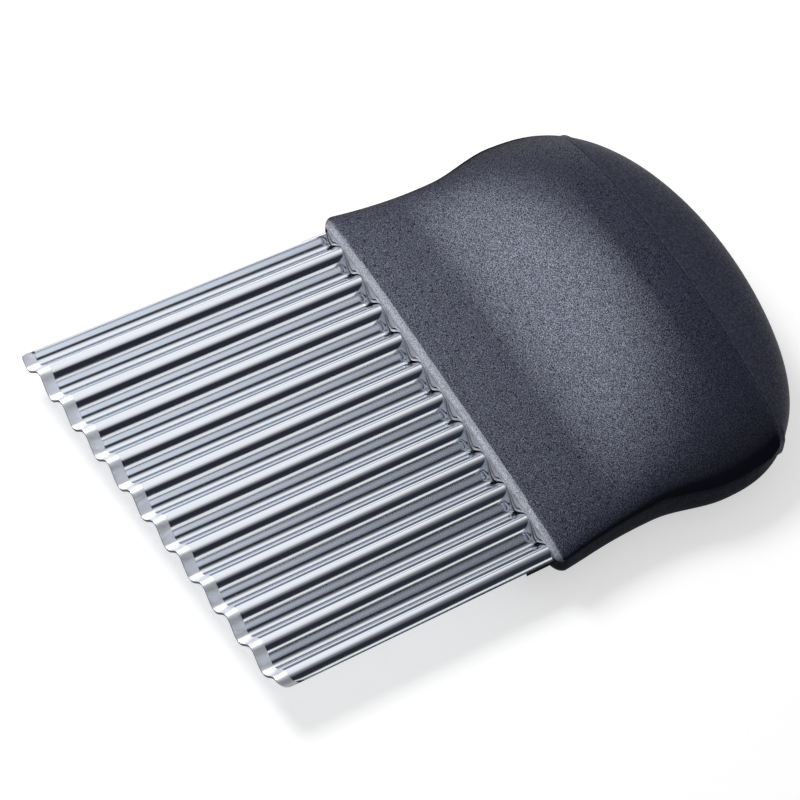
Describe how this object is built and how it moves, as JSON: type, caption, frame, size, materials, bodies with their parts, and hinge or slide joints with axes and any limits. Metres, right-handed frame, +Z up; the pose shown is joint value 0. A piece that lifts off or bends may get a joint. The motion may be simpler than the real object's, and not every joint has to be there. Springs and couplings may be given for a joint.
{
  "type": "crinkle cutter",
  "caption": "Hand-held crinkle cutter: a wide corrugated steel blade with a slanted ground edge, its flat tang held in a short moulded palm handle.",
  "frame": {"origin": "on the plane of the flat sole, under the middle of the whole length and of the handle's width", "axes": "+Y from the cutting edge to the palm, +X across the blade towards its short side, +Z up out of the sole"},
  "size_m": [0.0766, 0.1106, 0.0181],
  "materials": {
    "blade_steel": "polished waves with a satin ground edge",
    "handle_plastic": "fine spark-eroded grain",
    "cap_rubber": "smooth matte",
    "dowel_steel": "ground dowel"
  },
  "bodies": {
    "root": {"blade": "blade_steel", "handle_top_shell": "handle_plastic", "handle_bottom_shell": "handle_plastic", "palm_cap": "cap_rubber", "tang_pin_1": "dowel_steel", "tang_pin_2": "dowel_steel", "tang_pin_3": "dowel_steel", "cap_pin_1": "dowel_steel", "cap_pin_2": "dowel_steel"}
  },
  "joints": []
}
